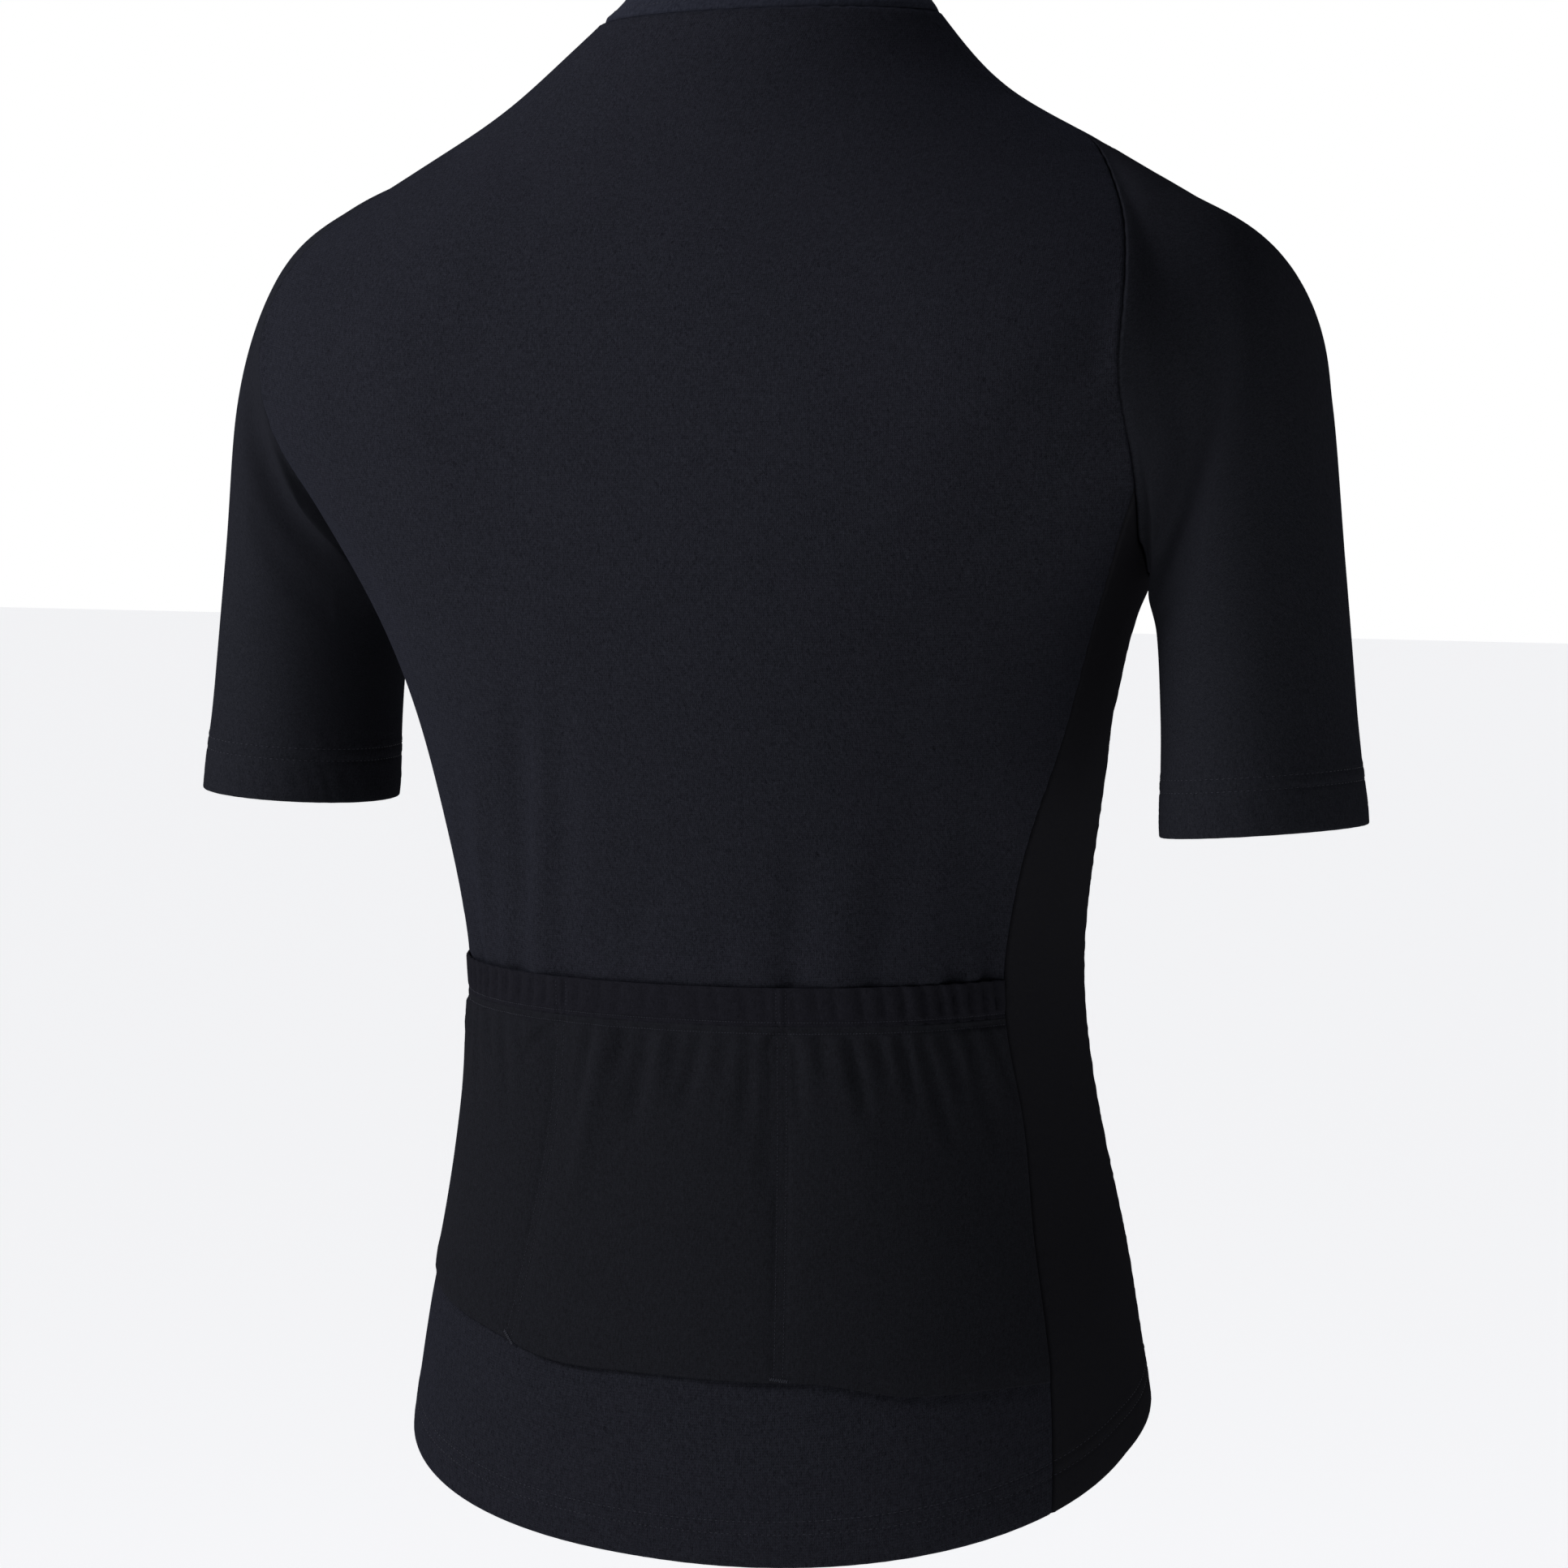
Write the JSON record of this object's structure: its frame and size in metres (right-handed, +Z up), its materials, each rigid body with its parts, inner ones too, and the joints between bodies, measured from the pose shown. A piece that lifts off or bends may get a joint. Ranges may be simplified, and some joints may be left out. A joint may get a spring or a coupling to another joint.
{
  "type": "cycling jersey",
  "caption": "Short-sleeved cycling jersey with a low collar, a full-length front zip and gathered pockets across the lower back, filled out as if worn but empty.",
  "frame": {"origin": "on the jersey's centre plane, level with the points where the shoulder seams meet the neck, where the wearer's shoulders hold it up", "axes": "+Z up, -Y towards the jersey's front and its zip, +X towards its own left sleeve"},
  "size_m": [0.57, 0.2672, 0.6969],
  "materials": {
    "textured_back_knit": "fine textured knit, matt",
    "smooth_side_knit": "smooth flat knit, matt",
    "brushed_sleeve_knit": "fine brushed knit, matt",
    "heathered_collar_knit": "doubled knit with a light nap, matt",
    "smooth_pocket_knit": "smooth close knit, matt",
    "gathered_elastic_knit": "knit gathered on elastic, matt",
    "zip_tape_polyester": "woven polyester tape with moulded teeth, matt",
    "black_lacquered_zinc": "black lacquer, satin"
  },
  "bodies": {
    "garment": {"back": "textured_back_knit", "front_left": "textured_back_knit", "front_right": "textured_back_knit", "side_left": "smooth_side_knit", "side_right": "smooth_side_knit", "sleeve_left": "brushed_sleeve_knit", "sleeve_right": "brushed_sleeve_knit", "collar": "heathered_collar_knit", "pocket_panel": "smooth_pocket_knit", "pocket_band": "gathered_elastic_knit", "zip": "zip_tape_polyester", "zip_slider": "black_lacquered_zinc"},
    "zip_pull": {"zip_pull": "black_lacquered_zinc"}
  },
  "joints": [
    {"name": "zip_pull_swing", "type": "hinge", "parent": "garment", "child": "zip_pull", "pos_m": [0, -0.06185, -0.04877], "axis": [-1, 0, 0], "range_deg": [0, 165]}
  ]
}
